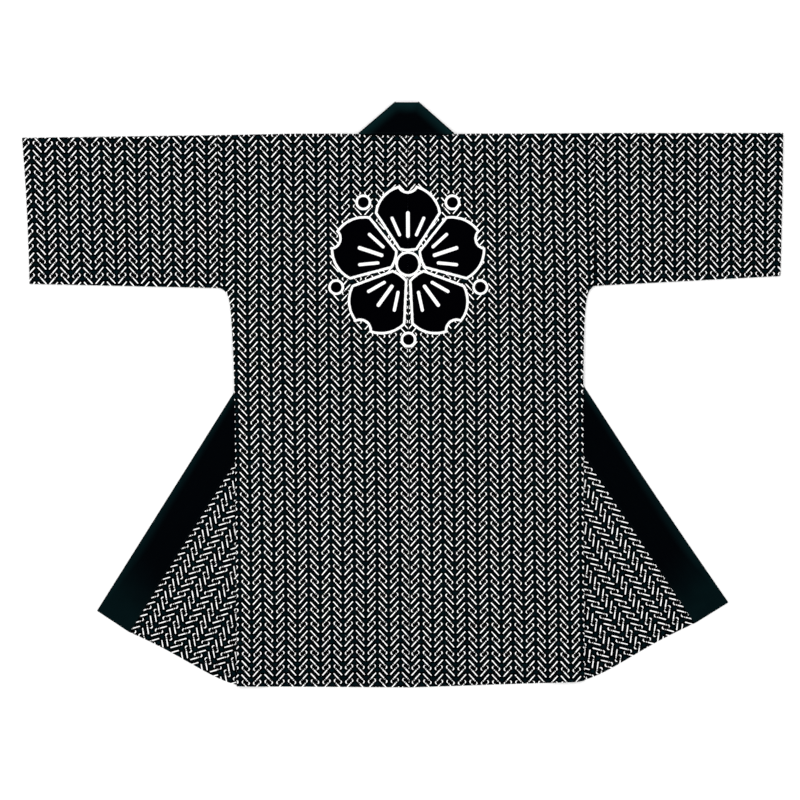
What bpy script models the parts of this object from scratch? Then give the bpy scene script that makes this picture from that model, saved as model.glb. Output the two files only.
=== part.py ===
# Happi coat laid out flat, back uppermost, both fronts folded outwards under it.
# Metres, +Z up, the floor at Z = 0, +Y towards the neck, +X the wearer's right.

import bpy
import bmesh
import numpy as np
from collections import namedtuple
from math import cos, exp, hypot, pi, sin

for old in list(bpy.data.objects):
    bpy.data.objects.remove(old, do_unlink=True)

# Thickness of the cloth and of the doubled collar band, and the gap left at a seam
CLOTH = 0.0010
BAND = 0.0018
SEAM = 0.0003

# Heights of the middle of each layer above the floor
FLOOR_Z = CLOTH / 2
LAYER = 0.0016
FRONT_ON_FLAP_Z = FLOOR_Z + LAYER
FRONT_ON_BAND_Z = BAND + 0.0004 + CLOTH / 2
FRONT_AT_NECK_Z = 0.0030
BAND_LOW_Z = BAND / 2
BAND_STEP = 0.0024
BAND_MID_Z = BAND_LOW_Z + BAND_STEP
BAND_TOP_Z = BAND_MID_Z + BAND_STEP
BACK_ON_BAND_Z = BAND_MID_Z + BAND / 2 + SEAM + CLOTH / 2

# Where the pieces lie: the shoulder line, and the centre back seam, which leans a little
SHOULDER_Y = 0.43065
CENTRE_X = 0.0083
CENTRE_LEAN = 0.0046
HEM = 0.9125
COLLAR_RISE = 0.0520
COLLAR_TOP_HALF = 0.0175

# Shape of the edges, and colours of the cloths
UNDERARM_CURVE = 0.017
HEM_ROUND = 0.110
SHOULDER_DROP_START = 0.6
PRINTED_COLOUR = (0.016, 0.022, 0.026)
COLLAR_COLOUR = (0.0012, 0.0021, 0.0026)
COTTON_ROUGHNESS = 0.85

# How far a cloth is held up past the edge of what it lies on, and how softly it falls from there
REACH = 0.010
SOFTEN = 0.0125
FIELD_STEP = 0.005
FIELD_SIZE = (0.60, 1.02)
FIELD_START = (-0.06, -0.06)

# Grid of each piece: columns and rows of faces
FOLD_STEPS = 4
FLAP_COLUMNS = 7
OUTER_COLUMNS = 11
INNER_COLUMNS = FLAP_COLUMNS + FOLD_STEPS
BAND_COLUMNS = 3
BAND_FRONT_ROWS = 12
BAND_SIDE_ROWS = 4
BAND_NECK_ROWS = 6
SLEEVE_COLUMNS = 8
SLEEVE_ROWS = 4

# Rows of a body panel down each stretch of its length, closer together at the underarm's curve
Stretch = namedtuple("Stretch", ["rows", "crowding"])
TO_CREASE = Stretch(9, 1)
TO_UNDERARM = Stretch(2, 1)
UNDERARM = Stretch(4, 2)
WAIST = Stretch(4, 1)
TO_HEM = Stretch(11, 1)
UNDERARM_LENGTH = 0.060
WAIST_LENGTH = 0.108

# One half of the coat. Points are (out from the centre back seam, down from the shoulder line).
Half = namedtuple("Half", [
    "name",           # the wearer's side
    "sign",           # +1 where X grows outwards
    "neck",           # from the centre to the collar's seam at the shoulder
    "armhole",        # from the centre to the sleeve seam, at the shoulder
    "armhole_low",    # the same at the underarm
    "underarm",       # the depth of the sleeve where it is sewn on
    "side",           # from the centre to the side edge below the underarm
    "hem_rise",       # how much higher the hem is at the side than at the centre
    "shoulder_drop",  # how much the shoulder line has dropped at the sleeve seam
    "crease_free",    # where the crease of the front starts, on the collar's free edge
    "crease_seam",    # where it passes the collar's seam
    "crease_hem",     # how far out it meets the hem
    "end_free",       # the lower end of the collar, on its free edge
    "end_seam",       # the same, on its seam
    "cuff",           # from the centre to the cuff, along the top edge
    "cuff_low",       # the same along the bottom edge
    "cuff_drop",      # how much the top edge has dropped at the cuff
    "cuff_depth",     # how deep down the cuff's lower corner is
])

HALVES = [
    Half("right", 1, 0.0770, 0.3110, 0.3068, 0.2520, 0.2870, 0.0099, 0.0000,
         (0.0206, 0.0104), (0.0807, 0.2120), 0.2607, (0.5237, 0.7730), (0.4701, 0.8052),
         0.6190, 0.6130, 0.0000, 0.2360),
    Half("left", -1, 0.0800, 0.3143, 0.3072, 0.2545, 0.2905, 0.0040, 0.0025,
         (0.0206, 0.0040), (0.0840, 0.2158), 0.2657, (0.5158, 0.7866), (0.4625, 0.8200),
         0.6362, 0.6250, 0.0070, 0.2467),
]


def mix(a, b, t):
    """The point a part t of the way from a to b"""
    return tuple(p + (q - p) * t for p, q in zip(a, b))


def unit(a, b):
    """The direction from a to b in the plan"""
    length = hypot(b[0] - a[0], b[1] - a[1])
    return (b[0] - a[0]) / length, (b[1] - a[1]) / length


def past(point, a, b):
    """How far a point is to the outer upper side of the line from a down to b"""
    along = unit(a, b)
    return (point[0] - a[0]) * along[1] - (point[1] - a[1]) * along[0]


def world(half, u, v, z):
    """From a half's own plan to the shared frame"""
    return CENTRE_X + CENTRE_LEAN * v + half.sign * u, SHOULDER_Y - v, z


def apex(half):
    """Where the crease crosses the front's own edge, just clear of the collar"""
    fold = unit(half.crease_free, half.crease_seam)
    return half.crease_seam[0] + SEAM, half.crease_seam[1] + SEAM * fold[1] / fold[0]


def crease(half, v):
    """How far out the crease of the folded front lies at a depth v"""
    corner = apex(half)
    down = (v - corner[1]) / (HEM - half.hem_rise - corner[1])
    return corner[0] + (half.crease_hem - corner[0]) * down


def front_edge(half, v):
    """The inner edge of the front as it lies: the collar's seam, then the crease"""
    corner = apex(half)
    if v <= corner[1]:
        return half.neck + SEAM + (corner[0] - half.neck - SEAM) * v / corner[1]
    return crease(half, v)


def side_edge(half, v):
    """The outer edge of back and front: the sleeve's seam, then the side"""
    if v <= half.underarm:
        return half.armhole - SEAM / 2 + (half.armhole_low - half.armhole) * v / half.underarm
    corner = half.armhole_low - SEAM / 2
    return half.side + (corner - half.side) * exp((half.underarm - v) / UNDERARM_CURVE)


def shoulder_drop(half, u):
    """How much the shoulder line has dropped, further out than the collar"""
    along = (u / half.armhole - SHOULDER_DROP_START) / (1 - SHOULDER_DROP_START)
    return half.shoulder_drop * min(max(along, 0), 1)


def row_depths(half):
    """Depths of the rows of a body panel, with rows at the crease's start and the underarm"""
    waist = half.underarm + UNDERARM_LENGTH
    stops = [(TO_CREASE, apex(half)[1]), (TO_UNDERARM, half.underarm), (UNDERARM, waist),
             (WAIST, waist + WAIST_LENGTH), (TO_HEM, HEM - half.hem_rise)]
    depths = [0.0]
    for stretch, end in stops:
        begin = depths[-1]
        for i in range(1, stretch.rows + 1):
            depths.append(begin + (end - begin) * (i / stretch.rows) ** stretch.crowding)
    return depths


def settle(wanted):
    """How cloth lies over a field of least heights: held up a little past each edge, then falling"""
    reach = round((REACH + 2 * SOFTEN) / FIELD_STEP)
    blur = round(SOFTEN / FIELD_STEP)
    for axis in (0, 1):
        pad = [(reach, reach) if a == axis else (0, 0) for a in (0, 1)]
        wide = np.pad(wanted, pad, mode="edge")
        shifts = [np.roll(wide, s, axis) for s in range(-reach, reach + 1)]
        wide = np.maximum.reduce(shifts)
        wanted = wide[reach:-reach] if axis == 0 else wide[:, reach:-reach]
    for axis in (0, 1, 0, 1):
        pad = [(blur, blur) if a == axis else (0, 0) for a in (0, 1)]
        wide = np.pad(wanted, pad, mode="edge")
        wide = sum(np.roll(wide, s, axis) for s in range(-blur, blur + 1)) / (2 * blur + 1)
        wanted = wide[blur:-blur] if axis == 0 else wide[:, blur:-blur]
    return wanted


def field_points():
    """Every point of the height fields, as (u, v)"""
    counts = [round(size / FIELD_STEP) + 1 for size in FIELD_SIZE]
    return [[(FIELD_START[0] + i * FIELD_STEP, FIELD_START[1] + j * FIELD_STEP)
             for j in range(counts[1])] for i in range(counts[0])]


def height(field, u, v):
    """The height of a field at a point, between its four nearest points"""
    x = min(max((u - FIELD_START[0]) / FIELD_STEP, 0), field.shape[0] - 1.001)
    y = min(max((v - FIELD_START[1]) / FIELD_STEP, 0), field.shape[1] - 1.001)
    i, j = int(x), int(y)
    s, t = x - i, y - j
    low = field[i, j] * (1 - s) + field[i + 1, j] * s
    high = field[i, j + 1] * (1 - s) + field[i + 1, j + 1] * s
    return low * (1 - t) + high * t


def front_wants(half, point):
    """The least height of the front at a point: over the collar, over the flap or on the floor"""
    if point[1] <= half.crease_seam[1] and abs(point[0] - front_edge(half, point[1])) < FIELD_STEP:
        return FRONT_AT_NECK_Z
    if past(point, half.crease_free, half.crease_seam) < 0:
        return FLOOR_Z
    if past(point, half.crease_free, half.end_free) > 0:
        return FLOOR_Z
    if past(point, half.crease_seam, half.end_seam) > 0:
        return FRONT_ON_BAND_Z
    return FRONT_ON_FLAP_Z


def back_wants(half, point, front_z):
    """The least height of the back at a point: over the collar, over the front or on the floor"""
    u, v = point
    beyond = past(point, half.crease_free, half.crease_seam)
    if v < half.crease_seam[1] and u < front_edge(half, max(v, 0)):
        return BACK_ON_BAND_Z if beyond > 0 and u > half.crease_free[0] else FLOOR_Z
    return front_z + LAYER if u >= front_edge(half, max(v, 0)) - FIELD_STEP else FLOOR_Z


def layer_fields(half):
    """The heights of the front and of the back over one half's plan"""
    points = field_points()
    front = settle(np.array([[front_wants(half, p) for p in line] for line in points]))
    back = settle(np.array([[back_wants(half, p, front[i, j]) for j, p in enumerate(line)]
                            for i, line in enumerate(points)]))
    return front, back


def surface(name, columns, rows, place, keep=None):
    """An open surface: a grid whose points go to place(i, j), less the faces that keep refuses"""
    bpy.ops.mesh.primitive_grid_add(x_subdivisions=columns, y_subdivisions=rows, size=1)
    item = bpy.context.object
    item.name = item.data.name = name
    mesh = bmesh.new()
    mesh.from_mesh(item.data)
    spot = {v: (round((v.co.x + 0.5) * columns), round((v.co.y + 0.5) * rows)) for v in mesh.verts}
    if keep:
        cut = [f for f in mesh.faces if not keep(min(spot[v][0] for v in f.verts),
                                                min(spot[v][1] for v in f.verts))]
        bmesh.ops.delete(mesh, geom=cut, context="FACES")
    for vert in mesh.verts:
        vert.co = place(*spot[vert])
    bmesh.ops.remove_doubles(mesh, verts=mesh.verts, dist=0.00001)
    bmesh.ops.recalc_face_normals(mesh, faces=mesh.faces)
    mesh.to_mesh(item.data)
    mesh.free()
    return item


def thicken(item, wall):
    """Give an open surface its wall, half to each side"""
    solid = item.modifiers.new("Wall", "SOLIDIFY")
    solid.thickness = wall
    solid.offset = 0
    solid.use_even_offset = True


def turn(axis_point, outward, low_z, high_z, step):
    """A point on a fold from the lower layer (step 0) to the upper (step FOLD_STEPS)"""
    angle = pi * step / FOLD_STEPS
    radius = (high_z - low_z) / 2
    bulge = radius * sin(angle)
    return (axis_point[0] + outward[0] * bulge, axis_point[1] + outward[1] * bulge,
            (high_z + low_z) / 2 - radius * cos(angle))


def body_panel(half):
    """Back and front in one length, with the folded flap of the front beneath"""
    front, back = layer_fields(half)
    depths = row_depths(half)
    length = len(depths) - 1
    side_hem = depths[-1]
    corner = apex(half)
    fold = unit(corner, (half.crease_hem, side_hem))
    outward = (-fold[1], fold[0])
    band = unit(half.crease_seam, half.end_seam)
    flap_end = (half.end_seam[0] - band[1] * SEAM, half.end_seam[1] + band[0] * SEAM)

    def plan(i, row):
        """Where column i lies in a row of the back, and of the front in its outer columns"""
        v = depths[row]
        edge, side = front_edge(half, v), side_edge(half, v)
        if i >= INNER_COLUMNS:
            u = edge + (side - edge) * (i - INNER_COLUMNS) / OUTER_COLUMNS
        else:
            away = 1 - i / INNER_COLUMNS
            width, least = edge - SEAM / 2, half.neck
            u = edge - least * away - (width - least) * away ** 3
        v += half.hem_rise * (1 - u / side) * (v / side_hem) ** 4
        v += shoulder_drop(half, u) * max(1 - v / half.underarm, 0)
        if row == 0:
            v += SEAM / 2
            if i >= INNER_COLUMNS:
                v += (height(back, u, 0) - height(front, u, 0)) / 2 + CLOTH / 2
        return u, v

    def flap(i, row):
        """Where column i lies in the flap, from the crease out to the collar's seam"""
        down = (depths[row] - corner[1]) / (side_hem - corner[1])
        out = (FLAP_COLUMNS - i) / FLAP_COLUMNS
        u, v = mix(plan(INNER_COLUMNS, row), mix(corner, flap_end, down), out)
        return u, v + HEM_ROUND * out * (1 - out) ** 3 * down ** 8, FLOOR_Z

    def place(i, j):
        if j <= length:
            u, v = plan(i, length - j)
            return world(half, u, v, height(back, u, v))
        if j < length + FOLD_STEPS:
            u, v = plan(i, 0)
            spot = turn((u, v), (0, -1), height(front, u, v), height(back, u, v),
                        length + FOLD_STEPS - j)
            return world(half, *spot)
        row = j - length - FOLD_STEPS
        if i < FLAP_COLUMNS:
            return world(half, *flap(i, row))
        u, v = plan(max(i, INNER_COLUMNS), row)
        if i >= INNER_COLUMNS:
            return world(half, u, v, height(front, u, v))
        return world(half, *turn((u, v), outward, FLOOR_Z, height(front, u, v), i - FLAP_COLUMNS))

    def keep(i, j):
        return j < length or i >= INNER_COLUMNS or j >= length + FOLD_STEPS + TO_CREASE.rows

    rows = 2 * length + FOLD_STEPS
    item = surface("body_" + half.name, INNER_COLUMNS + OUTER_COLUMNS, rows, place, keep)
    thicken(item, CLOTH)
    return item


def sleeve(half):
    """A flattened tube: folded along its top edge, sewn along its bottom edge, open at the cuff"""
    turns = 2 * (SLEEVE_ROWS + FOLD_STEPS)
    inset = LAYER / 2 + CLOTH / 2

    def layer(along, across):
        """A point of either layer, along from the body to the cuff and across from top to bottom"""
        top = mix((half.armhole + SEAM / 2, half.shoulder_drop + SEAM / 2),
                  (half.cuff, half.cuff_drop + SEAM / 2), along)
        low = mix((half.armhole_low + SEAM / 2, half.underarm), (half.cuff_low, half.cuff_depth), along)
        depth = low[1] - top[1]
        return mix(top, low, (inset + (depth - 2 * inset) * across) / depth)

    def place(i, j):
        along = i / SLEEVE_COLUMNS
        j = j % turns
        if j <= SLEEVE_ROWS:
            return world(half, *layer(along, j / SLEEVE_ROWS), FLOOR_Z + LAYER)
        j -= SLEEVE_ROWS
        if j < FOLD_STEPS:
            spot = turn(layer(along, 1), (0, 1), FLOOR_Z, FLOOR_Z + LAYER, FOLD_STEPS - j)
            return world(half, *spot)
        j -= FOLD_STEPS
        if j <= SLEEVE_ROWS:
            return world(half, *layer(along, 1 - j / SLEEVE_ROWS), FLOOR_Z)
        spot = turn(layer(along, 0), (0, -1), FLOOR_Z, FLOOR_Z + LAYER, j - SLEEVE_ROWS)
        return world(half, *spot)

    item = surface("sleeve_" + half.name, SLEEVE_COLUMNS, turns, place)
    thicken(item, CLOTH)
    return item


def neck_fold(half):
    """The two ends of the fold beside the neck, on the collar's free edge and on its seam"""
    return (COLLAR_TOP_HALF, -COLLAR_RISE), (half.neck, -SEAM / 2)


def band_rows(half):
    """Rows of the collar from its lower end up to the neck, across from free edge to seam"""
    top_free, top_seam = neck_fold(half)
    fold = unit(half.crease_free, half.crease_seam)
    neck = unit(top_free, top_seam)
    rows = []
    for i in range(BAND_FRONT_ROWS):
        t = i / BAND_FRONT_ROWS
        rows.append((mix(half.end_free, half.crease_free, t), mix(half.end_seam, half.crease_seam, t),
                     BAND_LOW_Z))
    for i in range(FOLD_STEPS + 1):
        ends = [turn(p, (-fold[1], fold[0]), BAND_LOW_Z, BAND_MID_Z, i)
                for p in (half.crease_free, half.crease_seam)]
        rows.append((ends[0][:2], ends[1][:2], ends[0][2]))
    for i in range(1, BAND_SIDE_ROWS):
        t = i / BAND_SIDE_ROWS
        rows.append((mix(half.crease_free, top_free, t), mix(half.crease_seam, top_seam, t),
                     BAND_MID_Z))
    for i in range(FOLD_STEPS + 1):
        ends = [turn(p, (neck[1], -neck[0]), BAND_MID_Z, BAND_TOP_Z, i) for p in (top_free, top_seam)]
        rows.append((ends[0][:2], ends[1][:2], ends[0][2]))
    return [[world(half, *mix(free, seam, k / BAND_COLUMNS), z) for k in range(BAND_COLUMNS + 1)]
            for free, seam, z in rows]


def collar():
    """One long doubled band: up one front, round the back of the neck and down the other front"""
    first, last = band_rows(HALVES[0]), band_rows(HALVES[1])[::-1]
    across = [[mix(a, b, i / BAND_NECK_ROWS) for a, b in zip(first[-1], last[0])]
              for i in range(1, BAND_NECK_ROWS)]
    rows = first + across + last
    item = surface("collar", BAND_COLUMNS, len(rows) - 1, lambda i, j: rows[j][i])
    thicken(item, BAND)
    return item


def material(name, colour, roughness):
    """A plain cloth material"""
    made = bpy.data.materials.new(name)
    made.use_nodes = True
    shader = made.node_tree.nodes["Principled BSDF"]
    shader.inputs["Base Color"].default_value = (*colour, 1)
    shader.inputs["Roughness"].default_value = roughness
    shader.inputs["Metallic"].default_value = 0
    return made


def centre_on_origin(items):
    """Move all points so that the middle of the coat's box is over the origin"""
    spots = [v.co for item in items for v in item.data.vertices]
    middle = [(min(p[a] for p in spots) + max(p[a] for p in spots)) / 2 for a in (0, 1)]
    for spot in spots:
        spot.x -= middle[0]
        spot.y -= middle[1]


coat = bpy.data.collections.new("happi_coat")
bpy.context.scene.collection.children.link(coat)

panels = [body_panel(half) for half in HALVES]
sleeves = [sleeve(half) for half in HALVES]
pieces = panels + sleeves + [collar()]
centre_on_origin(pieces)

for piece in pieces:
    colour = COLLAR_COLOUR if piece.name == "collar" else PRINTED_COLOUR
    piece.data.materials.append(material(piece.name + "_cotton", colour, COTTON_ROUGHNESS))
    for group in list(piece.users_collection):
        group.objects.unlink(piece)
    coat.objects.link(piece)
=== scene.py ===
# %% [markdown]
# # A happi coat, laid out flat with its back uppermost
#
# A happi is a short, straight-cut festival coat. It is sewn from narrow lengths of printed
# cotton, so nearly every edge is straight and the whole coat folds flat. This one lies on a pale
# table with its back on top. Both fronts are folded outwards beneath it, so the lower corners of
# the fronts and the long black collar stick out at the sides.
#
# The CAD model already says where every piece of cloth lies. Blender adds what the eye wants:
# fine folds, rounded edges, the printed pattern, stitching and light. We load the CAD model first.
# The finished coat has to stay inside it.

# %% Loading the CAD model
from collections import namedtuple
from math import cos, exp, hypot, pi, sin

import bmesh
import bpy
import numpy as np
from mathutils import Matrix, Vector

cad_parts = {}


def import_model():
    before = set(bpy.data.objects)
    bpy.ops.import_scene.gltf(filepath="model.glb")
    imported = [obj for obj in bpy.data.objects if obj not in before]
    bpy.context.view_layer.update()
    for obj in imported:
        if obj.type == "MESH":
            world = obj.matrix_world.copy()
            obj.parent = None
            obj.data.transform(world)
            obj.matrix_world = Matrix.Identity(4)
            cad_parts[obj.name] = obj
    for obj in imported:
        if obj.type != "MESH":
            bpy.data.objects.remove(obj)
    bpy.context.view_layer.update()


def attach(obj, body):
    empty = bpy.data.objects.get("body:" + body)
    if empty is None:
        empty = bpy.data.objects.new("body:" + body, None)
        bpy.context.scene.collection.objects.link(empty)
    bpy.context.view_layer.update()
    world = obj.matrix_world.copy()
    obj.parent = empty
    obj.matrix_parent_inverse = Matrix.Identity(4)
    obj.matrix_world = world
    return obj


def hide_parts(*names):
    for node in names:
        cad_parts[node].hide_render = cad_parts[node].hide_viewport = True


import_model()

# %% [markdown]
# ## The cutting plan
#
# Like a dressmaker's chart, one table holds the measures of each half of the coat. A point is
# given as (out from the centre back seam, down from the shoulder line), so the same functions
# draw both halves. The two halves differ by a few millimetres, as they do on the real coat,
# which was laid out by hand.

# %% Measures of the two halves
MEASURES = {    # for the wearer's right and left half
    "neck": (0.0755, 0.0795),  # from the centre to the collar's seam at the shoulder
    "armhole": (0.3098, 0.3143),  # from the centre to the sleeve seam, at the shoulder
    "armhole_low": (0.3068, 0.3105),  # from the centre to the sleeve seam, at the underarm
    "underarm": (0.2514, 0.2550),  # the depth of the sleeve where it is sewn on
    "side": (0.2878, 0.2860),  # from the centre to the side edge at the hem
    "flare": (0.0096, 0.0110),  # how much wider the waist is, just below the underarm
    "flare_reach": (0.050, 0.090),  # over what depth that flare dies away
    "hem_rise": (0.0094, 0.0017),  # how much higher the hem is at the side than at the centre
    "shoulder_drop": (-0.0010, 0.0025),  # how much the shoulder line has dropped at the sleeve seam
    # where the crease of the front starts, on the collar's free edge
    "crease_free": ((0.0206, 0.0104), (0.0206, 0.0040)),
    "crease_seam": ((0.0807, 0.2120), (0.0840, 0.2158)),  # where it passes the collar's seam
    "crease_hem": (0.2607, 0.2657),  # how far out it meets the hem
    "end_free": ((0.5257, 0.7738), (0.5158, 0.7876)),  # the lower end of the collar, on its free edge
    "end_seam": ((0.4701, 0.8082), (0.4625, 0.8230)),  # the lower end of the collar, on its seam
    "cuff": (0.6200, 0.6362),  # from the centre to the cuff, along the top edge
    "cuff_low": (0.6142, 0.6250),  # from the centre to the cuff, along the bottom edge
    "cuff_drop": (-0.0010, 0.0070),  # how much the top edge has dropped at the cuff
    "cuff_depth": (0.2350, 0.2480),  # how deep down the cuff's lower corner is
    "collar_top": (0.0172, 0.0190),  # from the centre to the collar's upper corner behind the neck
    "collar_pinch": (0.036, 0.0),  # how much narrower the collar is halfway down its free part
    "hem_round": (0.104, 0.090),  # how much the lower edge of the flap rounds out near the crease
    "cuff_bow": (0.0006, -0.0020),  # how much the cuff's edge bows out halfway down
}
Half = namedtuple("Half", ["name", "sign", *MEASURES])    # sign: +1 where X grows outwards
RIGHT, LEFT = (Half(name, sign, *(pair[column] for pair in MEASURES.values()))
               for column, (name, sign) in enumerate((("right", 1), ("left", -1))))
HALVES = [RIGHT, LEFT]

# Where the shoulder line and the centre back seam lie; the seam leans a little
SHOULDER_Y = 0.429787
CENTRE_X = 0.008565
CENTRE_LEAN = 0.0046
HEM = 0.9140
print("hem to shoulder", HEM, "m, cuff to cuff", RIGHT.cuff + LEFT.cuff, "m")

# %% [markdown]
# ## The lines of the plan
#
# Three lines shape a body panel: the inner edge of the front (the collar's seam, then the crease
# where the front is folded back), the outer edge (the sleeve's seam, then the side), and the
# short curve under the arm. They could be drawn as curves and meshed afterwards. Here each is a
# small function of the depth, because the back, the front, the flap and the stitches all have to
# agree on the same line.

# %% Lines of the plan
SEAM = 0.00006            # sewn edges meet, with a hair between them
UNDERARM_CURVE = 0.007


def mix(a, b, t):
    """The point a part t of the way from a to b"""
    return tuple(p + (q - p) * t for p, q in zip(a, b))


def unit(a, b):
    """The direction from a to b in the plan"""
    length = hypot(b[0] - a[0], b[1] - a[1])
    return (b[0] - a[0]) / length, (b[1] - a[1]) / length


def past(point, a, b):
    """How far a point is to the outer upper side of the line from a down to b"""
    along = unit(a, b)
    return (point[0] - a[0]) * along[1] - (point[1] - a[1]) * along[0]


def world(half, u, v, z):
    """From a half's own plan to the shared frame"""
    return CENTRE_X + CENTRE_LEAN * v + half.sign * u, SHOULDER_Y - v, z


def apex(half):
    """Where the crease crosses the front's own edge, just clear of the collar"""
    fold = unit(half.crease_free, half.crease_seam)
    return half.crease_seam[0] + SEAM, half.crease_seam[1] + SEAM * fold[1] / fold[0]


def front_edge(half, v):
    """The inner edge of the front as it lies: the collar's seam, then the crease"""
    corner = apex(half)
    if v <= corner[1]:
        return half.neck + SEAM + (corner[0] - half.neck - SEAM) * v / corner[1]
    down = (v - corner[1]) / (HEM - half.hem_rise - corner[1])
    return corner[0] + (half.crease_hem - corner[0]) * down


def side_edge(half, v):
    """The outer edge of back and front: the sleeve's seam, then the side"""
    if v <= half.underarm:
        return half.armhole - SEAM / 2 + (half.armhole_low - half.armhole) * v / half.underarm
    flare = half.flare * exp((half.underarm - v) / half.flare_reach)
    corner = half.armhole_low - SEAM / 2 - half.side - half.flare
    return half.side + flare + corner * exp((half.underarm - v) / UNDERARM_CURVE)


print("half width at the waist:", [round(side_edge(half, 0.5), 4) for half in HALVES])

# %% [markdown]
# ## How the layers lie on each other
#
# Cloth that lies over an edge is held up a little past it and then falls softly. A simulation
# could find that, but it would also slide the layers about. Instead a height field is worked
# out for the front and for the back: the least height that clears what is below is spread
# outwards (a maximum over neighbours) and then smoothed twice. Pressed cotton is never quite
# flat, so all upper layers also share one shallow wave, under a millimetre high. Hems and cuffs
# are turned in and stitched down: a little table gives how they rise, and sink at the stitches.

# %% Heights of the layers
CLOTH = 0.0008            # wall of the printed cotton
BAND = 0.0018             # thickness of the doubled collar
FLOOR_Z = 0.0005          # the middle of the lowest cloth
LAYER = 0.0016            # from one printed layer up to the next
FRONT_ON_FLAP_Z = FLOOR_Z + LAYER
FRONT_ON_BAND_Z = BAND + 0.0009
FRONT_AT_NECK_Z = 0.0030
BAND_LOW_Z = BAND / 2
BAND_STEP = 0.0024
BAND_MID_Z = BAND_LOW_Z + BAND_STEP
BAND_TOP_Z = BAND_MID_Z + BAND_STEP
BACK_ON_BAND_Z = BAND_MID_Z + BAND / 2 + 0.0008
NECK_HOLD = 0.008         # over this depth the collar's seam holds the back up
SEAM_HOLD = 0.005         # and this far on either side the seam of the front holds the layers
FIELD_STEP = 0.0025
FIELD_SIZE = (0.60, 1.02)
FIELD_START = (-0.06, -0.06)


def front_wants(half, point):
    """The least height of the front: over the collar, over the flap or on the floor"""
    if point[1] <= half.crease_seam[1] and abs(point[0] - front_edge(half, point[1])) < SEAM_HOLD:
        return FRONT_AT_NECK_Z
    if past(point, half.crease_free, half.crease_seam) < 0:
        return FLOOR_Z
    if past(point, half.crease_free, half.end_free) > 0:
        return FLOOR_Z
    if past(point, half.crease_seam, half.end_seam) > 0:
        return FRONT_ON_BAND_Z
    return FRONT_ON_FLAP_Z


def back_wants(half, point, front_z):
    """The least height of the back: over the collar, over the front or on the floor"""
    u, v = point
    if v < NECK_HOLD and u < half.neck:
        return BACK_ON_BAND_Z
    edge = front_edge(half, max(v, 0))
    if v < half.crease_seam[1] and u < edge:
        beyond = past(point, half.crease_free, half.crease_seam)
        return BACK_ON_BAND_Z if beyond > 0 and u > half.crease_free[0] else FLOOR_Z
    return front_z + LAYER if u >= edge - SEAM_HOLD else FLOOR_Z


print("the back lies", round(BACK_ON_BAND_Z * 1000, 2), "mm high where it covers the collar")

# %% Settling the layers
REACH = 0.005             # how far a cloth is held up past an edge
SOFTEN = 0.0075           # how softly it falls from there


def moved(field, axis, steps):
    """Copies of a field, moved along one axis by up to some steps each way"""
    wide = np.pad(field, [(steps, steps) if a == axis else (0, 0) for a in (0, 1)], mode="edge")
    count = field.shape[axis]
    return [wide.take(range(s, s + count), axis) for s in range(2 * steps, -1, -1)]


def settle(wanted):
    """How cloth lies over a field of least heights"""
    reach = round((REACH + 2 * SOFTEN) / FIELD_STEP)
    blur = round(SOFTEN / FIELD_STEP)
    for axis in (0, 1):
        wanted = np.maximum.reduce(moved(wanted, axis, reach))
    for axis in (0, 1, 0, 1):
        wanted = sum(moved(wanted, axis, blur)) / (2 * blur + 1)
    return wanted


def layer_fields(half):
    """The heights of the front and of the back over one half's plan"""
    us, vs = ([start + i * FIELD_STEP for i in range(round(size / FIELD_STEP) + 1)]
              for start, size in zip(FIELD_START, FIELD_SIZE))
    front = settle(np.array([[front_wants(half, (u, v)) for v in vs] for u in us]))
    back = settle(np.array([[back_wants(half, (u, v), front[i, j]) for j, v in enumerate(vs)]
                            for i, u in enumerate(us)]))
    return front, back


FIELDS = {half.name: layer_fields(half) for half in HALVES}
for name, (front, back) in FIELDS.items():
    print(name, "front up to", round(front.max() * 1000, 2), "mm, back", round(back.max() * 1000, 2))

# %% Height of one point
LAST_CELL = 1.001         # keeps a point just inside the last four points of a field
WAVE = 0.0008
WAVE_X, WAVE_Y = (0.061, 0.151), (0.083, 0.117)    # metres for a radian of the wave
WAVE_BEND, WAVE_START = (1.4, 0.9), 0.6
HEM_TURN = 0.012          # how far in the stitches of hems and cuffs lie
HEM_ROWS = [(0.0160, 0), (0.0135, 0), (0.0120, -0.00010), (0.0105, 0.00025), (0.0060, 0.00035),
            (0.0015, 0.00030), (0, 0.00015)]    # distance from the edge, and lift there


def height(field, u, v):
    """The height of a field at a point, between its four nearest points"""
    x, y = (min(max((spot - start) / FIELD_STEP, 0), count - LAST_CELL)
            for spot, start, count in zip((u, v), FIELD_START, field.shape))
    i, j = int(x), int(y)
    s, t = x - i, y - j
    low = field[i, j] * (1 - s) + field[i + 1, j] * s
    high = field[i, j + 1] * (1 - s) + field[i + 1, j + 1] * s
    return low * (1 - t) + high * t


def wave(half, u, v):
    """The shallow wave that all upper layers share, from zero to WAVE"""
    x, y, _ = world(half, u, v, 0)
    swell = sin(x / WAVE_X[0] + WAVE_BEND[0] * sin(y / WAVE_Y[1]))
    swell *= sin(y / WAVE_Y[0] + WAVE_BEND[1] * sin(x / WAVE_X[1]) + WAVE_START)
    return WAVE * (1 + swell) / 2


def on_wave(half, u, v, z):
    """A point of an upper layer in the shared frame, lifted by the wave"""
    return world(half, u, v, z + wave(half, u, v))


def hem_lift(steps):
    """How much a turned-up hem lies higher, some rows or columns in from its edge"""
    return HEM_ROWS[-1 - steps][1] if steps < len(HEM_ROWS) else 0


print("the wave lifts the middle of the back by", round(wave(RIGHT, 0, 0.5) * 1000, 2), "mm")
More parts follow.
